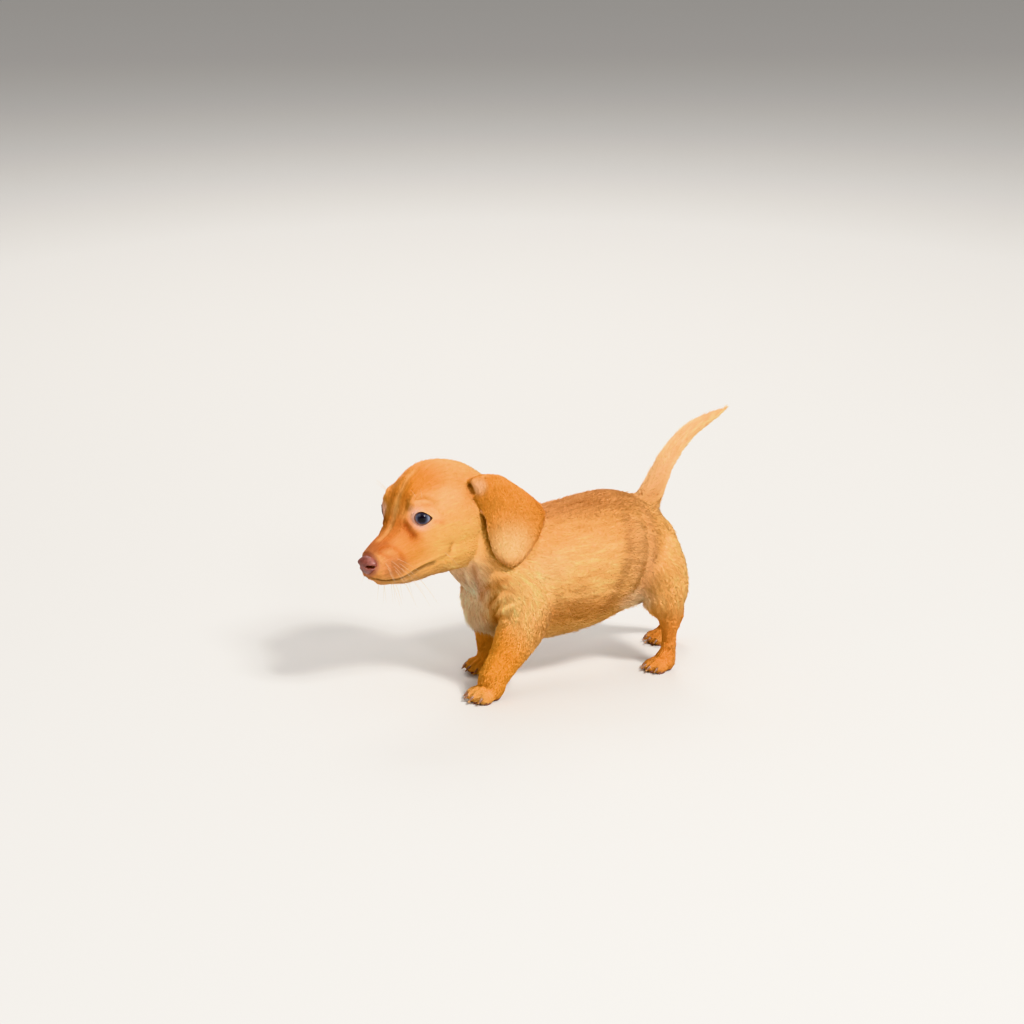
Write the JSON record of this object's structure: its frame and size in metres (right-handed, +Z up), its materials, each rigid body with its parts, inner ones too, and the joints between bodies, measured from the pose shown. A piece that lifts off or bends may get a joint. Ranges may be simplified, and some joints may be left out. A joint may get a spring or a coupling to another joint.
{
  "type": "dachshund puppy",
  "caption": "Still life-size young dachshund, smooth-haired, walking with its head held low, its long ears hanging and its tail raised.",
  "frame": {"origin": "on the floor, under the middle of the model's bounding box", "axes": "+X towards the nose, +Y to the animal's left, +Z up"},
  "size_m": [0.2918, 0.092, 0.1756],
  "materials": {
    "coat": "short smooth red-gold hair lying flat",
    "eye": "wet, slate blue round a dark pupil",
    "nose_leather": "moist liver-brown grained skin"
  },
  "bodies": {
    "root": {"head": "coat", "neck": "coat", "torso": "coat", "tail": "coat", "foreleg_left": "coat", "foreleg_right": "coat", "hindleg_left": "coat", "hindleg_right": "coat", "forepaw_left": "coat", "forepaw_right": "coat", "hindpaw_left": "coat", "hindpaw_right": "coat", "ear_left": "coat", "ear_right": "coat", "eye_left": "eye", "eye_right": "eye", "nose": "nose_leather"}
  },
  "joints": []
}
